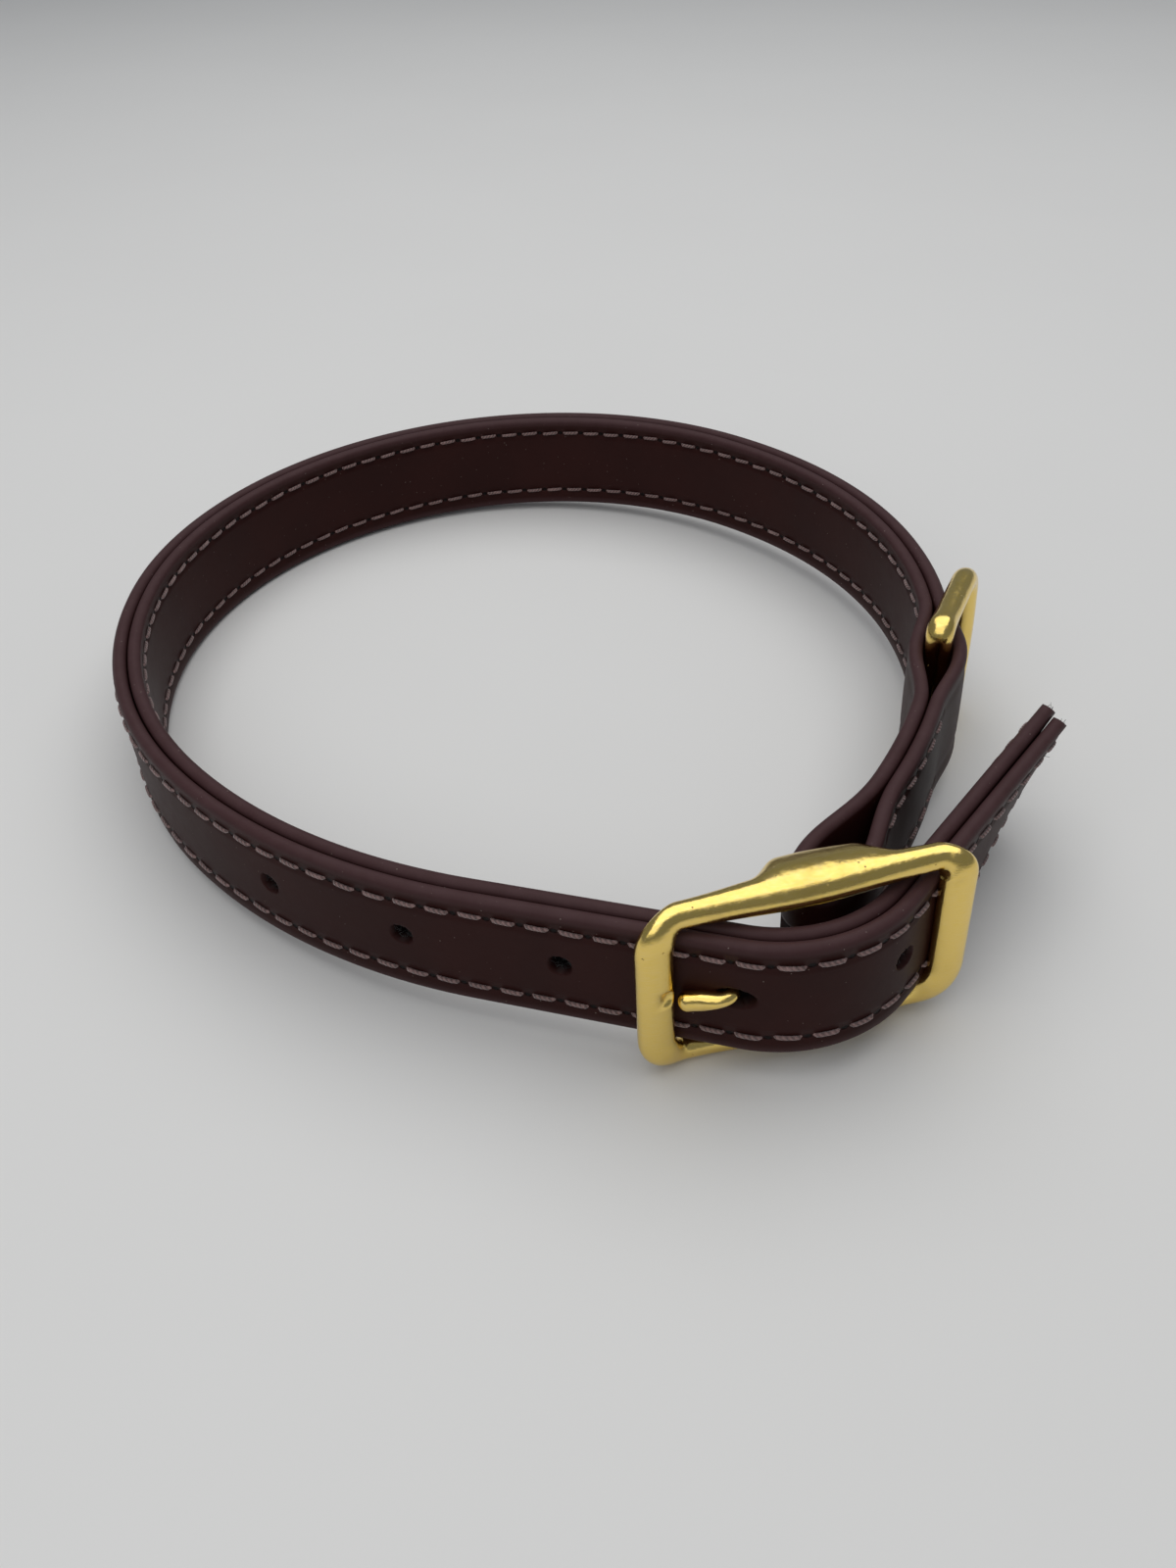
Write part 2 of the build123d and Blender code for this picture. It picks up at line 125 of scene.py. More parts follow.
# Ring, in its own axes: along from its bar to its bow, and across
RING_REACH = 23.6
RING_HALF_LENGTH = 14.25
RING_BOW = 1.2
RING_BAR_CORNER = 1.4
RING_BOW_CORNER = 5.0
RING_HEADING = 64.0

PALETTE = {
    "coating": (0.0250, 0.0060, 0.0050),
    # paler colour of the rounded edges: partly wear, partly painted sheen
    "edge_wear_and_sheen": (0.074, 0.038, 0.040),
    "thread": (0.270, 0.165, 0.155),
    "fibre": (0.0025, 0.0022, 0.0022),
    "brass": (0.88, 0.64, 0.17),
    "tarnish": (0.50, 0.31, 0.055),
    "floor": (0.78, 0.77, 0.75),
}


def place(points):
    """Level millimetres to packed metres: the bar's middle plus each coordinate along its own level axis."""
    p = np.asarray(points, float)
    return BAR + (p[..., :1] * EAST + p[..., 1:2] * NORTH + (p[..., 2:3] - MIDDLE) * UP) / 1000.0


def bearing(angle):
    """Unit plan vector at an angle in degrees; arrays give one row each."""
    a = np.radians(angle)
    return np.stack([np.cos(a), np.sin(a)], -1)


def bezier(start, start_angle, end, end_angle, reach, count):
    """Points and headings of a cubic with handles of one reach, at count + 1 even parameters."""
    t = np.linspace(0.0, 1.0, count + 1)[:, None]
    p0, p3 = np.array(start, float), np.array(end, float)
    p1, p2 = p0 + bearing(start_angle) * reach, p3 - bearing(end_angle) * reach
    point = p0 * (1 - t) ** 3 + p1 * 3 * t * (1 - t) ** 2 + p2 * 3 * t**2 * (1 - t) + p3 * t**3
    slope = (p1 - p0) * (1 - t) ** 2 + (p2 - p1) * 2 * t * (1 - t) + (p3 - p2) * t**2
    return point, np.degrees(np.unwrap(np.arctan2(slope[:, 1], slope[:, 0])))


def groove_table():
    """Distance, x, y and heading along the groove: headings run linearly over each leg, and their cosines and
    sines are summed by the trapezium rule; the right side is a cubic curve to the throat."""
    ends = np.cumsum([TAIL_START] + [length for length, _ in LEGS])
    turns = TAIL_HEADING - np.cumsum([0.0] + [turn for _, turn in LEGS])
    s = np.linspace(ends[0], ends[-1], 4001)
    angle = np.interp(s, ends, turns)
    step = bearing(angle)
    mids = (step[1:] + step[:-1]) / 2 * np.diff(s)[:, None]
    start = np.array(BEND_START) - bearing(TAIL_HEADING) * -TAIL_START
    xy = start + np.vstack([np.zeros(2), np.cumsum(mids, 0)])
    right, right_angle = bezier(xy[-1], angle[-1], THROAT, THROAT_HEADING, RIGHT_HANDLE, 400)
    run = np.cumsum(np.linalg.norm(np.diff(right, axis=0), axis=1))
    return (np.concatenate([s, s[-1] + run]), np.vstack([xy, right[1:]]),
            np.concatenate([angle, right_angle[1:]]))


GROOVE_S, GROOVE_XY, GROOVE_ANGLE = groove_table()
THROAT_S = GROOVE_S[-1]
RING_S = THROAT_S - RING_TO_THROAT


def groove(s):
    """Point and heading on the groove at each distance, by linear interpolation of the fine table."""
    xy = np.stack([np.interp(s, GROOVE_S, GROOVE_XY[:, i]) for i in (0, 1)], -1)
    return xy, np.interp(s, GROOVE_S, GROOVE_ANGLE)


class Course:
    """Stations along one strap run: plan origin, show-side normal, middle offset, lean and running distance."""

    def __init__(self, xy, out, offset, sign, lean, s):
        self.xy, self.out, self.offset, self.sign, self.lean, self.s = xy, out, offset, sign, lean, s

    def join(self, other):
        """This run followed by another."""
        pairs = zip(vars(self).values(), vars(other).values())
        return Course(*[np.concatenate(pair) for pair in pairs])

    def points(self, depth, height):
        """Level points: origin + across * (offset + sign * depth), hung from the upper edge by WIDTH - height,
        where across and hang both turn by the lean about the groove's upper edge."""
        out = np.concatenate([self.out, np.zeros((len(self.out), 1))], -1)[:, None]
        lift = np.array([0.0, 0.0, 1.0])
        lean = self.lean[:, None, None]
        across = out * np.cos(lean) - lift * np.sin(lean)
        rise = lift * np.cos(lean) + out * np.sin(lean)
        base = np.concatenate([self.xy, np.full((len(self.xy), 1), WIDTH)], -1)[:, None]
        reach = (self.offset[:, None] + self.sign[:, None] * depth)[..., None]
        return base + across * reach - rise * (WIDTH - np.broadcast_to(height, depth.shape))[..., None]


def ply_course(side, s):
    """One ply at distances s: half a ply and half the gap off the groove, plus a raised cosine round the ring."""
    xy, angle = groove(s)
    near = np.clip(np.abs(s - RING_S) / (PARTING_LENGTH / 2), 0, 1)
    offset = PLY_OFFSET + PARTING * (1 + np.cos(np.pi * near)) / 2
    share = np.clip((TWIST_START - s) / (TWIST_START - TAIL_START), 0, 1)
    return Course(xy, bearing(angle + 90.0), side * offset, np.full(s.shape, float(side)),
                  TAIL_TWIST * share, s)


def loop_side(side, count=26):
    """One side of the loop from the throat to the wrap, its show face away from the other side."""
    xy, angle = groove(np.array([THROAT_S]))
    start = xy[0] + bearing(angle[0] + 90.0) * side * PLY_OFFSET
    wrap = LOOP_ENTRY if side > 0 else LOOP_EXIT
    point, heading = bezier(start, THROAT_HEADING, bearing(wrap) * LOOP_RADIUS, wrap - 90.0 * side,
                            LOOP_HANDLE, count)
    run = np.concatenate([[0.0], np.cumsum(np.linalg.norm(np.diff(point, axis=0), axis=1))])
    zero = np.zeros(count + 1)
    return Course(point, bearing(heading + 90.0) * side, zero, zero + 1.0, zero, THROAT_S + run)


def back_to_front(course):
    """The same run, walked from its other end."""
    return Course(*[value[::-1] for value in vars(course).values()])


def part_of(course, first, last):
    """The stations of a run from first up to last."""
    return Course(*[value[first:last] for value in vars(course).values()])


def strap_stations():
    """Distances along a ply: 1.3 mm apart, and 0.3 mm apart across each hole and by the cut end."""
    plain = np.linspace(TAIL_START, THROAT_S, 428)
    close = np.concatenate([at + np.linspace(-2.7, 2.7, 19) for at in HOLES if at != HOLES[TONGUE_HOLE]])
    slit = HOLES[TONGUE_HOLE] + np.linspace(-4.4, 3.2, 26)
    holes = np.array(HOLES)
    lone = plain[np.min(np.abs(plain[:, None] - holes), 1) > 3.3]
    lone = lone[(lone < HOLES[TONGUE_HOLE] - 5.2) | (lone > HOLES[TONGUE_HOLE] + 3.9)]
    trims = np.array([0.06, 0.3, 0.6, 0.9, 1.2, 1.45, 1.6, 1.9, 2.2, 2.5, 2.7])
    return np.sort(np.concatenate([lone, close, slit, TAIL_START + trims]))


def whole_strap():
    """Outer ply, loop round the bar and inner ply as one course, and how many stations the outer ply has."""
    s = strap_stations()
    outer = ply_course(+1, s[s > TAIL_START + OUTER_CUT_BACK])
    inner = ply_course(-1, s)
    angle = np.linspace(LOOP_ENTRY, LOOP_EXIT, 32)[1:-1]
    zero = np.zeros(angle.shape)
    wrap = Course(bearing(angle) * LOOP_RADIUS, bearing(angle), zero, zero + 1.0, zero, zero + THROAT_S + WRAP_S)
    course = outer.join(part_of(loop_side(+1), 1, None)).join(wrap)
    return course.join(part_of(back_to_front(loop_side(-1)), 0, -1)).join(back_to_front(inner)), len(outer.s)


def strap_section():
    """Depth and height round the section: two flats and two half-round edges; closer rows by the holes."""
    flat = PLY / 2 - 0.05
    rows = np.concatenate([np.linspace(flat, 9.2, 12), np.linspace(9.5, 14.3, 17), np.linspace(14.6, WIDTH - flat, 12)])
    turn = np.linspace(0, np.pi, 9)[1:-1]
    back = np.linspace(WIDTH - flat, flat, 14)
    depth = np.concatenate([np.full(rows.shape, PLY / 2), np.cos(turn) * PLY / 2,
                            np.full(back.shape, -PLY / 2), -np.cos(turn) * PLY / 2])
    height = np.concatenate([rows, WIDTH - flat + np.sin(turn) * flat, back, flat - np.sin(turn) * flat])
    return depth, height, np.arange(len(depth)) < len(rows)


def smooth(value):
    """Smooth step of a clipped ramp: 3 v squared minus 2 v cubed."""
    v = np.clip(value, 0, 1)
    return v * v * (3 - 2 * v)


def hole_field(s, height):
    """How far inside a hole each show-face point is: 1 inside the rim, 0 outside, smooth over 0.3 mm; the
    tongue's hole is an oval dragged towards the tail."""
    field = np.zeros(np.broadcast(s, height).shape)
    for i, at in enumerate(HOLES):
        if i == TONGUE_HOLE:
            along = (s - at + 0.7) / np.where(s < at - 0.7, 2.9, 2.6)
            across = (height - HOLE_HEIGHT + 0.2) / 1.75
            far = np.hypot(along, across) * HOLE_RADIUS
        else:
            far = np.hypot(s - at, height - HOLE_HEIGHT)
        field = np.maximum(field, smooth((HOLE_RADIUS + 0.15 - far) / 0.3))
    return field


def build_mesh(name, verts, faces, smooth_faces=True, attributes=None, course_uv=None):
    """A mesh in packed metres from whole arrays, with float attributes and a UV map that follows the surface."""
    mesh = bpy.data.meshes.new(name)
    mesh.from_pydata(verts.reshape(-1, 3).tolist(), [], faces.tolist())
    mesh.polygons.foreach_set("use_smooth", np.full(len(mesh.polygons), smooth_faces))
    for key, values in (attributes or {}).items():
        layer = mesh.attributes.new(key, "FLOAT", "POINT")
        layer.data.foreach_set("value", np.asarray(values, np.float32).ravel())
    if course_uv is not None:
        corner = np.zeros(len(mesh.loops), np.int64)
        mesh.loops.foreach_get("vertex_index", corner)
        layer = mesh.uv_layers.new(name="Course")
        layer.data.foreach_set("uv", course_uv.reshape(-1, 2)[corner].astype(np.float32).ravel())
    mesh.validate()
    mesh.update()
    thing = bpy.data.objects.new(name, mesh)
    bpy.context.scene.collection.objects.link(thing)
    return thing


def tube_faces(rings, around, closed=False):
    """Quads of a grid of rings; the section closes on itself, and so does the path when closed."""
    i = np.arange(rings if closed else rings - 1)[:, None]
    j = np.arange(around)[None]
    a, b = i * around + j, i * around + (j + 1) % around
    after = (i + 1) % rings * around
    quads = np.stack([a, b, after + (j + 1) % around, after + j], -1)
    return quads.reshape(-1, 4)


def noise(seed, shape, spread):
    """Normal random numbers about 0, the same for the same seed."""
    return np.random.default_rng(seed).normal(0.0, spread, shape)


class Wire:
    """One shader socket; arithmetic on it adds Math nodes to its tree."""

    def __init__(self, finish, socket):
        self.finish, self.socket = finish, socket

    def _math(self, operation, *values):
        return self.finish.node("ShaderNodeMath", {"operation": operation}, dict(enumerate(values)))[0]

    def __add__(self, other):
        return self._math("ADD", self, other)

    def __sub__(self, other):
        return self._math("SUBTRACT", self, other)

    def __rsub__(self, other):
        return self._math("SUBTRACT", other, self)

    def __mul__(self, other):
        return self._math("MULTIPLY", self, other)

    def __truediv__(self, other):
        return self._math("DIVIDE", self, other)

    def __pow__(self, other):
        return self._math("POWER", self, other)

    __radd__ = __add__
    __rmul__ = __mul__

    def sine(self):
        return self._math("SINE", self)

    def fract(self):
        return self._math("FRACT", self)

    def size(self):
        return self._math("ABSOLUTE", self)

    def least(self, other):
        return self._math("MINIMUM", self, other)

    def most(self, other):
        return self._math("MAXIMUM", self, other)

    def ramp(self, low, high):
        """0 at low, 1 at high, smoothly."""
        settings = {"interpolation_type": "SMOOTHSTEP"}
        return self.finish.node("ShaderNodeMapRange", settings, {0: self, 1: low, 2: high, 3: 0.0, 4: 1.0})[0]


class Finish:
    """A node material: node() takes a type, its settings, and the values or links of its sockets."""

    def __init__(self, name):
        self.material = bpy.data.materials.new(name)
        self.material.use_nodes = True
        self.tree = self.material.node_tree
        self.shader = self.tree.nodes["Principled BSDF"]

    def node(self, kind, settings, inputs):
        made = self.tree.nodes.new(kind)
        for key, value in settings.items():
            setattr(made, key, value)
        for key, value in inputs.items():
            if isinstance(value, Wire):
                self.tree.links.new(value.socket, made.inputs[key])
            else:
                made.inputs[key].default_value = value
        return [Wire(self, socket) for socket in made.outputs]

    def where(self):
        """Object coordinates."""
        return self.node("ShaderNodeTexCoord", {}, {})[3]

    def course(self):
        """Distance along the piece and place across it, in millimetres, from the piece's own UV map."""
        uv = self.node("ShaderNodeUVMap", {"uv_map": "Course"}, {})[0]
        split = self.node("ShaderNodeSeparateXYZ", {}, {0: uv})
        return split[0] * 1000.0, split[1] * 1000.0

    def attribute(self, name):
        """A float attribute of the mesh."""
        return self.node("ShaderNodeAttribute", {"attribute_name": name}, {})[2]

    def grain(self, scale, detail=3.0, rough=0.5, stretch=(1.0, 1.0, 1.0)):
        """Noise on object coordinates; scale is per metre."""
        at = self.node("ShaderNodeVectorMath", {"operation": "MULTIPLY"}, {0: self.where(), 1: stretch})[0]
        return self.node("ShaderNodeTexNoise", {}, {"Vector": at, "Scale": scale, "Detail": detail,
                                                     "Roughness": rough})[0]

    def specks(self, scale, size):
        """Small round dots: 1 where the nearest Voronoi point is closer than size."""
        cell = self.node("ShaderNodeTexVoronoi", {}, {"Vector": self.where(), "Scale": scale})
        return 1.0 - cell[0].ramp(size * 0.6, size)

    def blend(self, amount, first, second):
        """Colour mix; amount 0 gives first."""
        made = self.tree.nodes.new("ShaderNodeMix")
        made.data_type = "RGBA"
        for socket, value in ((made.inputs[0], amount), (made.inputs[6], first), (made.inputs[7], second)):
            if isinstance(value, Wire):
                self.tree.links.new(value.socket, socket)
            else:
                socket.default_value = (*value, 1.0) if isinstance(value, tuple) else value
        return Wire(self, made.outputs[2])

    def relief(self, height, distance, strength=1.0):
        """A bumped normal; distance is in metres for a height of 1."""
        return self.node("ShaderNodeBump", {}, {"Strength": strength, "Distance": distance, "Height": height})[0]

    def wear(self, **sockets):
        """Put values or links on the shader's own sockets; underscores stand for spaces."""
        for key, value in sockets.items():
            socket = self.shader.inputs[key.replace("_", " ")]
            if isinstance(value, Wire):
                self.tree.links.new(value.socket, socket)
            else:
                socket.default_value = value
        return self.material


def coating_finish(settings):
    """Smooth brown coating: paler rounded edges, partly real wear and partly painted sheen, pits at the needle holes,
    fine grain, dust, black in holes and cuts.
    """
    f = Finish("brown_coating")
    s, h = f.course()
    edge = f.attribute("edge")
    hole = f.attribute("hole")
    sewn = f.attribute("sewn")
    cloud = f.grain(55.0, 4.0, 0.55)
    fine = f.grain(1400.0, 3.0, 0.6)
    rub = f.grain(260.0, 5.0, 0.65)
    near_gap = (((s - STITCH_START) / STITCH_PITCH + 0.5).fract() - 0.5).size() * STITCH_PITCH
    row = (h - SEAM_HEIGHTS["lower"]).size().least((h - SEAM_HEIGHTS["upper"]).size())
    needle = (near_gap * near_gap * 1.2 + row * row * 2.6) ** 0.5
    pit = (1.0 - needle.ramp(0.28, 0.85)) * sewn
    furrow = (1.0 - row.ramp(0.2, 1.7)) * sewn
    dust = f.specks(750.0, 0.085) * rub.ramp(0.45, 0.62)
    tone = f.blend(cloud.ramp(0.3, 0.7) * 0.55, tuple(settings.coating), tuple(c * 1.45 for c in settings.coating))
    # Paler rounded edges: partly real wear, partly painted sheen where the light catches them
    wear_and_sheen = edge * (0.45 + rub * 0.6)
    tone = f.blend(wear_and_sheen.least(1.0), tone, tuple(settings.edge_wear_and_sheen))
    tone = f.blend(dust * 0.55, tone, (0.42, 0.36, 0.31))
    dark = (pit * 0.9).most(hole)
    tone = f.blend(dark.least(1.0), tone, tuple(settings.fibre))
    height = fine * 0.05 + rub * 0.16 - furrow * 0.8 - pit * 2.2
    rough = 0.40 + cloud * 0.10 + rub * 0.10 + dust * 0.2
    return f.wear(Base_Color=tone, Roughness=rough.most(hole * 0.95), Normal=f.relief(height, 0.00022),
                  Specular_IOR_Level=0.11)


def thread_finish(settings):
    """Two-strand waxed thread: slanting strands by UV, with painted shade in the grooves between them, each with fine
    fibres, and soiled here and there.
    """
    f = Finish("twisted_thread")
    s, v = f.course()
    strand = ((s * 1.25 + v * 2.0) * 6.28318).sine() * 0.5 + 0.5
    fibre = ((s * 3.0 + v * 14.0) * 6.28318).sine() * 0.5 + 0.5
    soil = f.grain(420.0, 4.0, 0.6)
    # Painted shade: the grooves between the strands are darkened to a third of the thread colour, the crests kept full
    tone = f.blend(strand ** 0.6, tuple(c * 0.34 for c in settings.thread), tuple(settings.thread))
    tone = f.blend(soil.ramp(0.45, 0.75) * 0.55, tone, tuple(c * 1.5 for c in settings.thread))
    tone = f.blend(fibre * 0.18, tone, tuple(c * 0.5 for c in settings.thread))
    return f.wear(Base_Color=tone, Roughness=0.62, Normal=f.relief(strand * 1.0 + fibre * 0.12, 0.00016),
                  Sheen_Weight=0.3, Sheen_Roughness=0.4)


def fibre_finish(settings):
    """Black webbing yarn with a dull shine and grey dust."""
    f = Finish("core_fibre")
    lint = f.grain(900.0, 4.0, 0.6)
    tone = f.blend(lint.ramp(0.5, 0.8) * 0.6, tuple(settings.fibre), (0.022, 0.020, 0.020))
    return f.wear(Base_Color=tone, Roughness=0.75, Normal=f.relief(lint, 0.0002), Sheen_Weight=0.2)


def brass_finish(settings, name, stretch):
    """Polished cast brass: brushed hairlines, faint dents, brown tarnish in patches and duller where handled."""
    f = Finish(name)
    cloud = f.grain(95.0, 4.0, 0.6)
    cast = f.grain(420.0, 3.0, 0.5)
    brush = f.grain(700.0, 5.0, 0.7, stretch)
    nick = f.specks(430.0, 0.07)
    stain = cloud.ramp(0.52, 0.78)
    tone = f.blend(stain * 0.5, tuple(settings.brass), tuple(settings.tarnish))
    tone = f.blend(brush.ramp(0.35, 0.75) * 0.22, tone, (0.93, 0.76, 0.50))
    tone = f.blend(nick * 0.5, tone, (0.22, 0.14, 0.07))
    rough = 0.10 + stain * 0.10 + brush * 0.10 + nick * 0.25
    height = cast * 0.30 + brush * 0.10 - nick * 0.5 + cloud * 0.7
    return f.wear(Base_Color=tone, Metallic=1.0, Roughness=rough, Normal=f.relief(height, 0.00022))


def plain_floor(settings):
    """Pale matt floor with the faintest mottling."""
    f = Finish("pale_floor")
    tone = f.blend(f.grain(9.0).ramp(0.3, 0.7) * 0.3, tuple(settings.floor), tuple(c * 0.96 for c in settings.floor))
    return f.wear(Base_Color=tone, Roughness=0.85)


class CollarSettings(bpy.types.PropertyGroup):
    """Colours and sizes of the soft parts."""

    coating: bpy.props.FloatVectorProperty(name="Coating", description="Coating colour", size=3,
                                           subtype="COLOR", default=PALETTE["coating"])
    # Paler edge colour: partly wear, partly painted sheen on the rounded edges
    edge_wear_and_sheen: bpy.props.FloatVectorProperty(name="Edge wear and sheen", description="Coating colour on rubbed edges, with painted sheen",
                                                size=3, subtype="COLOR", default=PALETTE["edge_wear_and_sheen"])
    thread: bpy.props.FloatVectorProperty(name="Thread", description="Thread colour", size=3,
                                          subtype="COLOR", default=PALETTE["thread"])
    fibre: bpy.props.FloatVectorProperty(name="Core", description="Colour of the webbing's yarn", size=3,
                                         subtype="COLOR", default=PALETTE["fibre"])
    stitch_length: bpy.props.FloatProperty(name="Stitch", description="Length of one stitch", default=0.0036,
                                           unit="LENGTH")
    thread_radius: bpy.props.FloatProperty(name="Thread radius", description="Radius of the thread",
                                           default=0.00037, unit="LENGTH")
    hair_count: bpy.props.IntProperty(name="Cut fibres", description="Yarn ends at each cut ply", default=130)


class BrassSettings(bpy.types.PropertyGroup):
    """Colours and sizes of the fittings."""

    brass: bpy.props.FloatVectorProperty(name="Brass", description="Polished metal colour", size=3,
                                         subtype="COLOR", default=PALETTE["brass"])
    tarnish: bpy.props.FloatVectorProperty(name="Tarnish", description="Colour of the tarnish", size=3,
                                           subtype="COLOR", default=PALETTE["tarnish"])
    ring_rod: bpy.props.FloatProperty(name="Ring rod", description="Radius of the ring's rod", default=0.00225,
                                      unit="LENGTH")
    tongue_radius: bpy.props.FloatProperty(name="Tongue", description="Radius of the tongue", default=0.00135,
                                           unit="LENGTH")


class StageSettings(bpy.types.PropertyGroup):
    """Floor and light."""

    floor: bpy.props.FloatVectorProperty(name="Floor", description="Floor colour", size=3, subtype="COLOR",
                                         default=PALETTE["floor"])
    key_power: bpy.props.FloatProperty(name="Overhead light", description="Power of the soft light above",
                                       default=5.0, subtype="POWER")
    fill_power: bpy.props.FloatProperty(name="Fill light", description="Power of the side light", default=1.6,
                                        subtype="POWER")


class COLLAR_OT_strap(bpy.types.Operator):
    """Model the coated strap with its holes and cut ends"""

    bl_idname = "collar.strap"
    bl_label = "Strap"

    def execute(self, context):
        course, outer_count = whole_strap()
        depth, height, show = strap_section()
        s = course.s[:, None]
        on_ply = np.zeros((len(course.s), 1), bool)
        on_ply[:outer_count] = True
        on_ply[-len(strap_stations()):] = True
        field = hole_field(s, height[None]) * show[None] * on_ply
        on_wrap = (course.s == THROAT_S + WRAP_S)[:, None]
        slot = np.abs(height[None] - HOLE_HEIGHT) < SLOT_HALF_HEIGHT
        field = np.maximum(field, on_wrap * slot * show[None])
        swell = 0.07 * np.sin(np.pi * np.clip((height - 4.5) / 13.8, 0, 1)) - 0.05
        row = np.minimum(np.abs(height - SEAM_HEIGHTS["lower"]), np.abs(height - SEAM_HEIGHTS["upper"]))
        furrow = -FURROW * np.exp(-((row / 0.9) ** 2))
        reach = depth[None] + show[None] * (swell + furrow)[None] - field * HOLE_WELL
        # Mask of the rounded edges, where the paler colour paints wear and sheen
        edge = np.where(show, smooth((np.abs(height - MIDDLE) - 9.2) / 1.2),
                        smooth((np.abs(height - MIDDLE) - 9.9) / 0.6))
        own_end = np.where(np.arange(len(s))[:, None] < outer_count, s[:outer_count].min(), TAIL_START)
        from_end = np.where(on_ply, s - own_end, 2 * SNIP)
        limit = WIDTH - np.clip(SNIP - from_end, 0, None)
        snipped = np.minimum(height[None], limit)
        bared = smooth((height[None] - limit) / 0.25) * (from_end < SNIP)
        points = course.points(reach, snipped)
        rings, around = points.shape[:2]
        ends, end_faces, cut = self.cut_ends(points, around)
        verts = np.concatenate([points.reshape(-1, 3), ends])
        faces = np.concatenate([tube_faces(rings, around), end_faces])
        sewn = ((s < LONG_END) & (s > STITCH_START)) | ((s > SHORT_START) & (s < THROAT_S + 12.0))
        sewn = sewn * show[None] * np.ones((rings, around))
        pad = len(ends)
        uv = np.stack([np.broadcast_to(s, (rings, around)), np.broadcast_to(height, (rings, around))], -1)
        uv = np.concatenate([uv.reshape(-1, 2), np.zeros((pad, 2))]) / 1000.0
        strap = build_mesh("coated_strap", place(verts), faces, attributes={
            "edge": np.concatenate([np.broadcast_to(edge, (rings, around)).ravel(), np.zeros(pad)]),
            "hole": np.concatenate([np.maximum(field, bared).ravel(), cut]),
            "sewn": np.concatenate([sewn.ravel(), np.zeros(pad)])}, course_uv=uv)
        crisp = np.ones(len(faces), bool)
        crisp[rings * around - around:] = False
        strap.data.polygons.foreach_set("use_smooth", crisp)
        strap.data.materials.append(coating_finish(context.scene.collar))
        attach(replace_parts(strap, "strap_coating"), "strap")
        return {"FINISHED"}

    def cut_ends(self, points, around):
        """Close both cut ends: the end ring is drawn in towards the section's middle line by END_SHARES, set back
        by END_DEPTHS and roughened by END_ROUGH, and the last ring is closed across with quads. The third list
        returned is 1 on the bared yarn and 0 on the coating."""
        total = points.shape[0] * around
        verts, faces, cut = [], [], []
        base = total
        for which, inward in ((0, points[3] - points[0]), (-1, points[-4] - points[-1])):
            ring = points[which]
            direction = inward.mean(0) / np.linalg.norm(inward.mean(0))
            centre = ring.mean(0)
            rise = ring[np.argmax(ring[:, 2])] - centre
            rise = rise / np.linalg.norm(rise)
            along = ((ring - centre) @ rise)[:, None] * rise
            along = along * np.minimum(1.0, 9.6 / np.maximum(np.abs((ring - centre) @ rise), 1e-6))[:, None]
            line = centre + along
            first = 0 if which == 0 else total - around
            previous = first + np.arange(around)
            for step, share in enumerate(END_SHARES):
                rough = noise(11 + step + abs(which), (around, 1), END_ROUGH[step])
                verts.append(ring + (line - ring) * share + direction * (rough + END_DEPTHS[step]))
                cut.append(np.full(around, END_YARN[step]))
                now = base + np.arange(around)
                quads = np.stack([previous, np.roll(previous, -1), np.roll(now, -1), now], -1)
                faces.append(quads if which else quads[:, ::-1])
                previous, base = now, base + around
            half = around // 2
            i = np.arange(half)
            strip = np.stack([previous[i], previous[(i + 1) % around],
                              previous[(-i - 2) % around], previous[(-i - 1) % around]], -1)
            faces.append(strip if which else strip[:, ::-1])
        return np.concatenate(verts), np.concatenate(faces), np.concatenate(cut)


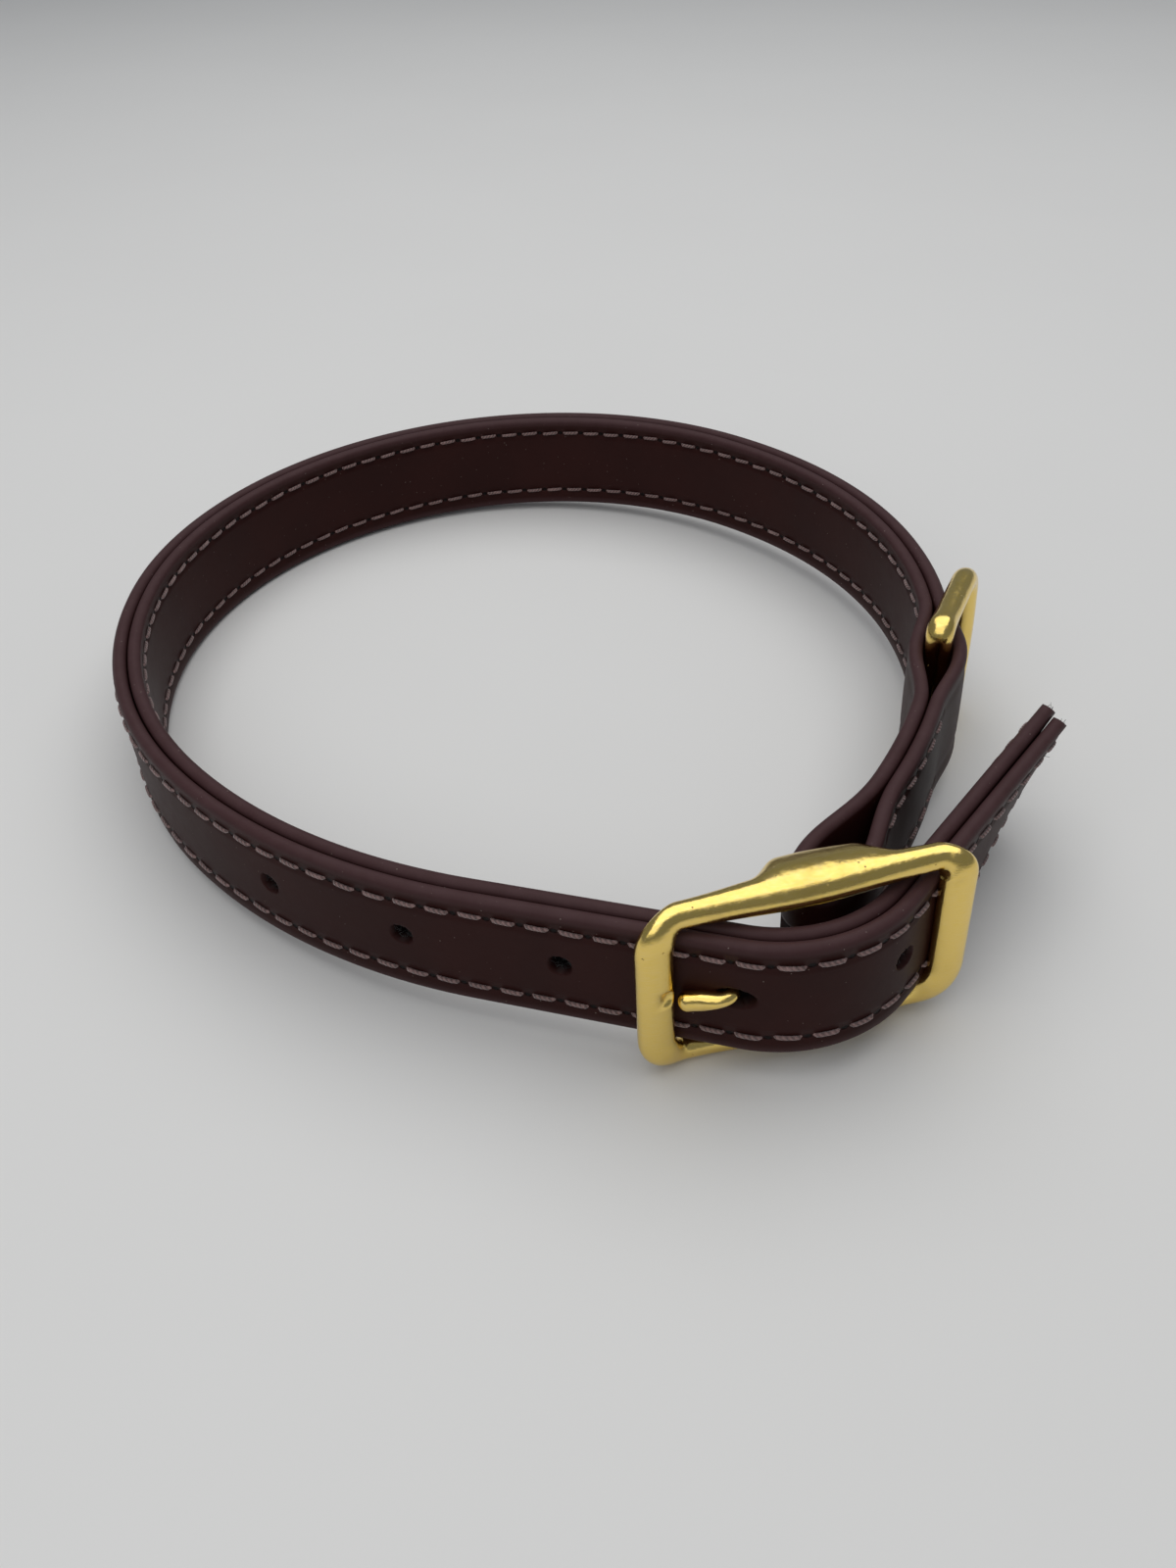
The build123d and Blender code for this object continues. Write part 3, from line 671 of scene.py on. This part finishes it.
class COLLAR_OT_stitching(bpy.types.Operator):
    """Sew every seam with twisted stitches"""

    bl_idname = "collar.stitching"
    bl_label = "Stitching"

    def execute(self, context):
        finish = thread_finish(context.scene.collar)
        for run in ("long", "short"):
            for row, height in SEAM_HEIGHTS.items():
                for face, side in (("outer", +1), ("inner", -1)):
                    piece = self.seam(context.scene.collar, run, row, height, face, side)
                    piece.data.materials.append(finish)
                    node = f"seam_{run}_{row}_{face}"
                    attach(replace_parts(piece, node), "strap")
        return {"FINISHED"}

    def seam(self, settings, run, row, height, face, side):
        """Stitches of one seam: each a bowed, tapered thread; all ends dip into the strap at the needle pits."""
        number = np.arange(0, 118)
        middle = STITCH_START + (number + 0.5) * STITCH_PITCH
        half = settings.stitch_length * 500.0
        low, high = (STITCH_START, LONG_END) if run == "long" else (SHORT_START, THROAT_S)
        if run == "short" and side > 0:
            high += 12.0
        middle = middle[(middle - half > low) & (middle + half < high)]
        if side > 0:
            middle = middle[np.abs(middle - half - TAIL_START) > 2.0]
        radius = settings.thread_radius * 1000.0
        t = np.linspace(-1.0, 1.0, 8)
        seed = {"long": 1, "short": 2}[run] * 10 + side
        wobble = noise(seed + int(height), (len(middle), 1), 0.06)
        s = middle[:, None] + t * (half + 0.3)
        centre_h = height + wobble + (0.10 + noise(seed + 5, (len(middle), 1), 0.05)) * t
        lift = 0.02 + 0.16 * (1 - np.abs(t) ** 3.5) - 0.55 * np.abs(t) ** 9
        lift = lift + noise(seed + 7, (len(middle), 1), 0.03)
        thick = radius * (1 - 0.30 * np.abs(t) ** 5)
        around = np.linspace(0, 2 * np.pi, 8, endpoint=False)
        depth = PLY / 2 - 0.12 + lift[..., None] + np.sin(around) * thick[:, None] * 0.92
        across = centre_h[..., None] + np.cos(around) * thick[:, None]
        rings = s.size
        course = self.course_at(side, s.ravel())
        points = course.points(depth.reshape(rings, 8), across.reshape(rings, 8))
        block = tube_faces(8, 8)
        caps = np.array([[0, 1, 2, 3], [0, 3, 4, 7], [4, 5, 6, 7]])
        ends = np.concatenate([caps, caps[:, ::-1] + 56])
        block = np.concatenate([block, ends])
        if side < 0:
            block = block[:, ::-1]
        faces = (block[None] + (np.arange(len(middle)) * 64)[:, None, None]).reshape(-1, 4)
        uv = np.stack([np.broadcast_to(s[..., None], depth.shape),
                       np.broadcast_to(around / (2 * np.pi), depth.shape)], -1) / 1000.0
        return build_mesh(f"stitches_{run}_{row}_{face}", place(points), faces, course_uv=uv)

    def course_at(self, side, s):
        """The ply at each distance, running on into the loop past the throat."""
        course = ply_course(side, np.minimum(s, THROAT_S))
        past = s > THROAT_S
        if past.any():
            loop = loop_side(side)
            for key in ("xy", "out"):
                value, table = getattr(course, key), getattr(loop, key)
                value[past] = np.stack([np.interp(s[past], loop.s, table[:, i]) for i in (0, 1)], -1)
            course.offset[past], course.sign[past] = 0.0, 1.0
            course.s = s
        return course


class COLLAR_OT_fibres(bpy.types.Operator):
    """Fray the webbing's yarn at the cut ends and in the holes"""

    bl_idname = "collar.fibres"
    bl_label = "Core fibres"

    def execute(self, context):
        settings = context.scene.collar
        roots, ways, lengths = [], [], []
        count = settings.hair_count
        for side in (+1, -1):
            rng = np.random.default_rng(20 + side)
            at = TAIL_START + (1.4 if side > 0 else 0.3)
            course = ply_course(side, np.full(count, at))
            depth = rng.uniform(-0.65, 0.65, (count, 1))
            height = rng.uniform(1.3, WIDTH - 1.3, (count, 1))
            ahead = ply_course(side, np.full(count, at + 1.0))
            root = course.points(depth, height)[:, 0]
            way = root - ahead.points(depth, height)[:, 0]
            roots.append(root)
            ways.append(way + rng.normal(0, 0.35, way.shape))
            lengths.append(rng.uniform(0.7, 1.7, count))
        for i, at in enumerate(HOLES):
            if i == TONGUE_HOLE:
                continue
            for side in (+1, -1):
                rng = np.random.default_rng(50 + i * 2 + side)
                angle = rng.uniform(0, 2 * np.pi, 60)
                course = ply_course(side, at + np.cos(angle) * HOLE_RADIUS)
                height = HOLE_HEIGHT + np.sin(angle)[:, None] * HOLE_RADIUS
                depth = rng.uniform(-0.6, 0.5, (60, 1))
                centre = ply_course(side, np.full(60, at)).points(depth, np.full((60, 1), HOLE_HEIGHT))[:, 0]
                root = course.points(depth, height)[:, 0]
                way = centre - root
                roots.append(root)
                ways.append(way / np.linalg.norm(way, axis=1)[:, None] + rng.normal(0, 0.5, way.shape))
                lengths.append(rng.uniform(0.4, 1.3, 60))
        piece = self.hairs(np.concatenate(roots), np.concatenate(ways), np.concatenate(lengths))
        piece.data.materials.append(fibre_finish(settings))
        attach(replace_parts(piece, "webbing_core"), "strap")
        return {"FINISHED"}

    def hairs(self, root, way, length):
        """Thin three-sided tapering yarn ends: root + way * t + a sideways curl that grows with t squared."""
        way = way / np.linalg.norm(way, axis=1)[:, None]
        side = np.cross(way, noise(3, way.shape, 1.0))
        side /= np.linalg.norm(side, axis=1)[:, None]
        other = np.cross(way, side)
        t = np.linspace(0, 1, 4)[None, :, None]
        spine = root[:, None] + (way[:, None] * t + side[:, None] * t**2 * 0.35) * length[:, None, None]
        angle = np.arange(3) * 2 * np.pi / 3
        thick = (0.075 * (1 - 0.55 * t))[..., None]
        ring = np.cos(angle)[None, None, :, None] * side[:, None, None] + \
            np.sin(angle)[None, None, :, None] * other[:, None, None]
        points = spine[:, :, None] + ring * thick
        block = tube_faces(4, 3)
        quads = (block[None] + (np.arange(len(root)) * 12)[:, None, None]).reshape(-1, 4).tolist()
        caps = [[b + 2, b + 1, b] for b in range(0, len(root) * 12, 12)]
        caps += [[b + 9, b + 10, b + 11] for b in range(0, len(root) * 12, 12)]
        mesh = bpy.data.meshes.new("core_fibres")
        mesh.from_pydata(place(points).reshape(-1, 3).tolist(), [], quads + caps)
        thing = bpy.data.objects.new("core_fibres", mesh)
        bpy.context.scene.collection.objects.link(thing)
        return thing


def round_box_path(half_u, half_z, corners, count):
    """A rounded rectangle's middle line and outward normals, by equal steps of distance, from its top centre. The
    corners' radii go clockwise from the top right; along a straight the radius passes from one to the next."""
    radius = np.array([corners[0]] + [corner for corner in corners for _ in range(2)] + [corners[0]])
    middle_u = np.array([0, 1, 1, 1, 1, -1, -1, -1, -1, 0]) * (half_u - radius)
    middle_z = np.array([1, 1, 1, -1, -1, -1, -1, 1, 1, 1]) * (half_z - radius)
    turned = np.radians([90, 90, 0, 0, -90, -90, -180, -180, -270, -270])
    lengths = np.hypot(np.diff(middle_u), np.diff(middle_z)) + np.abs(np.diff(turned)) * radius[1:]
    marks = np.concatenate([[0], np.cumsum(lengths)])
    s = np.linspace(0, marks[-1], count, endpoint=False)
    middle_u, middle_z, turned, radius = (np.interp(s, marks, v) for v in (middle_u, middle_z, turned, radius))
    normal = np.stack([np.cos(turned), np.sin(turned)], -1)
    return np.stack([middle_u, middle_z], -1) + normal * radius[:, None], normal


def buckle_point(u, n, z):
    """Buckle axes to the level frame; z from the strap's middle."""
    along, forward = bearing(BUCKLE_ANGLE), bearing(BUCKLE_ANGLE - 90.0)
    plan = u[..., None] * along + n[..., None] * forward
    return np.concatenate([plan, (z + MIDDLE)[..., None]], -1)


class COLLAR_OT_buckle(bpy.types.Operator):
    """Model the buckle frame with its swelled rails, oval side bars and centre bar"""

    bl_idname = "collar.buckle"
    bl_label = "Buckle frame"

    def execute(self, context):
        middle, normal = round_box_path(SIDE_REACH, RAIL_OFFSET, CORNERS, 360)
        u, z = middle.T
        side = smooth((np.abs(normal[:, 0]) - 0.05) / 0.9)
        rail = 1 - side
        belly = smooth(1 - np.abs(u - 1.0) / 20.0)
        lug = smooth((11.2 - np.abs(u - 3.6)) / 5.5)
        wide = (RAIL_HALF + 0.65 * belly) * rail + SIDE_HALF_WIDTH * side
        front = (RAIL_HALF + 1.15 * belly) * rail + SIDE_HALF_DEPTH * side
        back = (RAIL_HALF + 1.5 * belly + 3.3 * lug) * rail + SIDE_HALF_DEPTH * side
        arch = ARCH * side
        angle = np.linspace(0, 2 * np.pi, 44, endpoint=False)
        power = 2.0 / (2.0 + 0.25 * side[:, None])
        c, d = np.cos(angle)[None], np.sin(angle)[None]
        across = np.sign(c) * np.abs(c) ** power * wide[:, None]
        deep = np.sign(d) * np.abs(d) ** power * np.where(d > 0, front[:, None], back[:, None])
        narrow = 1 - 0.30 * rail[:, None] * np.clip(-deep - 2.5, 0, None) / 4.0
        across = across * narrow
        uu = FRAME_CENTRE[0] + u[:, None] + normal[:, :1] * across
        zz = z[:, None] + normal[:, 1:] * across
        nn = FRAME_CENTRE[1] + arch[:, None] + deep
        notch_n = FRAME_CENTRE[1] + ARCH + SIDE_HALF_DEPTH + 0.85
        drop = notch_n - np.sqrt(np.clip(1.9**2 - (zz - 1.0) ** 2, 0, None))
        inner = smooth((uu - FRAME_CENTRE[0] + 23.4) / 2.2) * (uu < -18.0) * (deep > -0.6)
        nn = nn - np.clip(nn - drop, 0, None) * inner * (np.abs(zz - 1.0) < 1.9)
        frame_verts = buckle_point(uu, nn, zz)
        bar_z = np.linspace(-RAIL_OFFSET, RAIL_OFFSET, 12)
        ring = np.linspace(0, 2 * np.pi, 28, endpoint=False)
        bar = np.stack(np.broadcast_arrays(BAR_RADIUS * np.cos(ring), BAR_RADIUS * np.sin(ring),
                                           bar_z[:, None] + MIDDLE), -1)
        count = u.size * 44
        faces = tube_faces(u.size, 44, closed=True).tolist()
        faces += (tube_faces(12, 28) + count).tolist()
        faces += [list(range(count + 27, count - 1, -1)), list(range(count + 11 * 28, count + 12 * 28))]
        piece = solid("brass_frame", np.concatenate([frame_verts.reshape(-1, 3), bar.reshape(-1, 3)]), faces)
        piece.data.materials.append(brass_finish(context.scene.brass, "polished_brass", (1.0, 1.0, 9.0)))
        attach(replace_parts(piece, "buckle_frame"), "buckle")
        return {"FINISHED"}


def solid(name, points, faces):
    """A closed mesh from level points; its normals are turned outwards."""
    mesh = bpy.data.meshes.new(name)
    mesh.from_pydata(place(points).tolist(), [], faces)
    work = bmesh.new()
    work.from_mesh(mesh)
    bmesh.ops.recalc_face_normals(work, faces=work.faces)
    work.to_mesh(mesh)
    work.free()
    mesh.polygons.foreach_set("use_smooth", np.ones(len(mesh.polygons), bool))
    thing = bpy.data.objects.new(name, mesh)
    bpy.context.scene.collection.objects.link(thing)
    return thing


def carried(path, width, thick, across):
    """A section of half-width along across and half-thickness square to it, carried along a path; both may vary."""
    tangent = np.gradient(path, axis=0)
    tangent /= np.linalg.norm(tangent, axis=1)[:, None]
    side = across - (across * tangent).sum(-1, keepdims=True) * tangent
    side /= np.linalg.norm(side, axis=1)[:, None]
    up = np.cross(tangent, side)
    angle = np.linspace(0, 2 * np.pi, 28, endpoint=False)
    return (path[:, None] + np.cos(angle)[None, :, None] * (side * width[:, None])[:, None]
            + np.sin(angle)[None, :, None] * (up * thick[:, None])[:, None])


def hermite(points, tangents, count):
    """A smooth line through points with given end-to-end tangents: cubic Hermite pieces of count steps each."""
    t = np.linspace(0, 1, count, endpoint=False)[:, None]
    pieces = []
    for a, b, ma, mb in zip(points[:-1], points[1:], tangents[:-1], tangents[1:]):
        pieces.append((2 * t**3 - 3 * t**2 + 1) * a + (t**3 - 2 * t**2 + t) * ma
                      + (-2 * t**3 + 3 * t**2) * b + (t**3 - t**2) * mb)
    return np.concatenate(pieces + [points[-1:]])


class COLLAR_OT_tongue(bpy.types.Operator):
    """Model the tongue, with its eye round the centre bar"""

    bl_idname = "collar.tongue"
    bl_label = "Tongue"

    def execute(self, context):
        settings = context.scene.brass
        radius = settings.tongue_radius * 1000.0
        xy, angle = groove(np.array([HOLES[TONGUE_HOLE]]))
        out = np.append(bearing(angle[0] + 90.0), 0.0)
        hole = np.append(xy[0], HOLE_HEIGHT)
        along = np.append(bearing(BUCKLE_ANGLE), 0.0)
        forward = np.append(bearing(BUCKLE_ANGLE - 90.0), 0.0)
        tip_u = FRAME_CENTRE[0] - SIDE_REACH + SIDE_HALF_WIDTH + 0.1 + radius
        tip = along * tip_u + forward * (FRAME_CENTRE[1] + ARCH + SIDE_HALF_DEPTH - 0.3)
        tip[2] = HOLE_HEIGHT - 1.1
        start = forward * EYE_MIDDLE + np.array([0, 0, HOLE_HEIGHT])
        knots = np.array([start, hole - out * PLY, hole + out * PLY, tip])
        run = np.linalg.norm(np.diff(knots, axis=0), axis=1)
        lean = (knots[2] - knots[1]) / run[1] + (knots[3] - knots[2]) / run[2]
        lean /= np.linalg.norm(lean)
        early = (knots[1] - knots[0]) / run[0] + (knots[2] - knots[1]) / run[1]
        early /= np.linalg.norm(early)
        final = (tip - knots[2]) / run[2]
        tangents = np.array([-along * run[0], early * run[1], lean * run[2] * 0.8, final * run[2]])
        path = hermite(knots, tangents, 22)
        share = np.linspace(0, 1, len(path))
        width = radius * (0.82 + 0.42 * smooth((share - 0.70) / 0.22))
        thick = radius * (0.92 + 0.18 * smooth((share - 0.6) / 0.3))
        cap = np.sin(np.linspace(0, np.pi / 2, 9))[1:]
        nose = path[-1] + final * (cap * radius * 0.95)[:, None]
        shrink = np.sqrt(np.clip(1 - cap**2, 0.0009, None))
        path = np.concatenate([path, nose])
        width = np.concatenate([width, width[-1] * shrink])
        thick = np.concatenate([thick, thick[-1] * shrink])
        rod = carried(path, width, thick, np.array([0.0, 0.0, 1.0]))
        faces = tube_faces(len(path), 28).tolist()
        faces += [list(range(27, -1, -1)), list(range((len(path) - 1) * 28, len(path) * 28))]
        ring = np.linspace(0, 2 * np.pi, 40, endpoint=False)
        section = np.linspace(0, 2 * np.pi, 20, endpoint=False)
        far = EYE_MIDDLE + 0.64 * np.sign(np.cos(section)) * np.abs(np.cos(section)) ** 0.6
        tall = HOLE_HEIGHT + 2.4 * np.sign(np.sin(section)) * np.abs(np.sin(section)) ** 0.5
        eye = np.stack(np.broadcast_arrays(np.cos(ring)[:, None] * far, np.sin(ring)[:, None] * far, tall), -1)
        count = len(path) * 28
        faces += (tube_faces(40, 20, closed=True) + count).tolist()
        piece = solid("brass_tongue", np.concatenate([rod.reshape(-1, 3), eye.reshape(-1, 3)]), faces)
        piece.data.materials.append(brass_finish(settings, "tongue_brass", (1.0, 1.0, 6.0)))
        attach(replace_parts(piece, "buckle_tongue"), "tongue")
        return {"FINISHED"}


class COLLAR_OT_ring(bpy.types.Operator):
    """Model the cast dee ring"""

    bl_idname = "collar.ring"
    bl_label = "Dee ring"

    def execute(self, context):
        settings = context.scene.brass
        radius = settings.ring_rod * 1000.0
        reach, half, bow = RING_REACH, RING_HALF_LENGTH, RING_BOW
        small, bend = RING_BAR_CORNER, RING_BOW_CORNER
        far = reach - bow
        corner = np.linspace(0, np.pi / 2, 9)

        def turn(middle_x, middle_z, first, r):
            """A quarter circle from the angle first."""
            return np.stack([middle_x + r * np.cos(first + corner), middle_z + r * np.sin(first + corner)], -1)

        arc = np.linspace(half - bend, -(half - bend), 22)
        bowed = np.stack([far + bow * (1 - (arc / (half - bend)) ** 2), arc], -1)[1:-1]
        leg = np.linspace(small, far - bend, 20)[1:-1]
        stem = np.linspace(half - small, -(half - small), 22)[1:-1]
        outline = np.concatenate([
            turn(small, half - small, np.pi / 2, small), np.stack([0 * stem, stem], -1),
            turn(small, -half + small, np.pi, small), np.stack([leg, 0 * leg - half], -1),
            turn(far - bend, -half + bend, -np.pi / 2, bend), bowed[::-1],
            turn(far - bend, half - bend, 0.0, bend), np.stack([leg[::-1], 0 * leg + half], -1)])
        count = len(outline)
        before, after = np.roll(outline, 1, 0), np.roll(outline, -1, 0)
        tangent = after - before
        tangent /= np.linalg.norm(tangent, axis=1)[:, None]
        normal = np.stack([tangent[:, 1], -tangent[:, 0]], -1)
        knuckle = np.exp(-(((outline[:, 0]) ** 2 + (np.abs(outline[:, 1]) - half) ** 2) / 9.0))
        rod = radius * (1 + 0.10 * knuckle)
        angle = np.linspace(0, 2 * np.pi, 32, endpoint=False)
        power = 2 / (2 + 0.4 * knuckle[:, None])
        c, d = np.cos(angle)[None], np.sin(angle)[None]
        across = np.sign(c) * np.abs(c) ** power * rod[:, None]
        deep = np.sign(d) * np.abs(d) ** power * rod[:, None]
        x = outline[:, :1] + normal[:, :1] * across
        z = outline[:, 1:] + normal[:, 1:] * across
        xy, _ = groove(np.array([RING_S]))
        ahead, beside = bearing(RING_HEADING), bearing(RING_HEADING + 90.0)
        plan = xy[0] + x[..., None] * ahead + deep[..., None] * beside
        points = np.concatenate([plan, (z + MIDDLE)[..., None]], -1)
        faces = tube_faces(count, 32, closed=True).tolist()
        piece = solid("brass_dee_ring", points.reshape(-1, 3), faces)
        piece.data.materials.append(brass_finish(settings, "cast_brass", (2.0, 2.0, 7.0)))
        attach(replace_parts(piece, "dee_ring"), "ring")
        return {"FINISHED"}


class COLLAR_OT_stage(bpy.types.Operator):
    """Set the floor, the soft lights and the camera"""

    bl_idname = "collar.stage"
    bl_label = "Stage"

    def execute(self, context):
        settings = context.scene.stage
        span = np.array([-3.0, 3.0])
        corners = np.stack(np.meshgrid(span, span), -1).reshape(-1, 2)
        verts = np.concatenate([corners, np.full((4, 1), -0.0002)], -1)
        floor = build_mesh("floor", verts, np.array([[0, 1, 3, 2]]), smooth_faces=False)
        floor.data.materials.append(plain_floor(settings))
        self.light(context, "overhead", (0.05, 0.22, 0.80), (0.0, 0.0, 0.0), 1.1, settings.key_power)
        self.light(context, "fill", (-0.22, -0.46, 0.62), (0.0, -0.03, 0.01), 0.7, settings.fill_power)
        world = bpy.data.worlds.new("soft_sky")
        world.use_nodes = True
        world.node_tree.nodes["Background"].inputs[0].default_value = (0.86, 0.92, 1.0, 1.0)
        world.node_tree.nodes["Background"].inputs[1].default_value = 0.22
        context.scene.world = world
        lens = bpy.data.cameras.new("view")
        lens.sensor_fit, lens.sensor_height, lens.lens = "VERTICAL", 24.0, 20.25
        lens.clip_start = 0.005
        camera = bpy.data.objects.new("view", lens)
        camera.location = (0.005845, -0.214581, 0.162813)
        camera.rotation_euler = tuple(np.radians((49.8904, 1.4976, -1.2156)))
        context.scene.collection.objects.link(camera)
        context.scene.camera = camera
        context.scene.view_settings.view_transform = "Standard"
        return {"FINISHED"}

    def light(self, context, name, at, aim, size, power):
        """A square soft light at a place, turned to face its aim."""
        lamp = bpy.data.lights.new(name, "AREA")
        lamp.shape, lamp.size, lamp.energy = "SQUARE", size, power
        thing = bpy.data.objects.new(name, lamp)
        thing.location = at
        thing.rotation_euler = (Vector(aim) - Vector(at)).to_track_quat("-Z", "Y").to_euler()
        context.scene.collection.objects.link(thing)


class COLLAR_PT_panel(bpy.types.Panel):
    """Collar pieces and their settings"""

    bl_label = "Buckle collar"
    bl_space_type = "VIEW_3D"
    bl_region_type = "UI"
    bl_category = "Collar"

    def draw(self, context):
        for group in (context.scene.collar, context.scene.brass, context.scene.stage):
            for key in group.__annotations__:
                self.layout.prop(group, key)
        for operator in OPERATORS:
            self.layout.operator(operator.bl_idname)


SETTINGS = {"collar": CollarSettings, "brass": BrassSettings, "stage": StageSettings}
OPERATORS = (COLLAR_OT_strap, COLLAR_OT_stitching, COLLAR_OT_fibres, COLLAR_OT_buckle, COLLAR_OT_tongue,
             COLLAR_OT_ring, COLLAR_OT_stage)


def register():
    for kind in (*SETTINGS.values(), *OPERATORS, COLLAR_PT_panel):
        bpy.utils.register_class(kind)
    for name, kind in SETTINGS.items():
        setattr(bpy.types.Scene, name, bpy.props.PointerProperty(type=kind))


def unregister():
    for name in SETTINGS:
        delattr(bpy.types.Scene, name)
    for kind in reversed((*SETTINGS.values(), *OPERATORS, COLLAR_PT_panel)):
        bpy.utils.unregister_class(kind)


def main():
    """Build every piece and the stage."""
    register()
    bpy.ops.collar.strap()
    bpy.ops.collar.stitching()
    bpy.ops.collar.fibres()
    bpy.ops.collar.buckle()
    bpy.ops.collar.tongue()
    bpy.ops.collar.ring()
    bpy.ops.collar.stage()


if __name__ == "__main__":
    main()
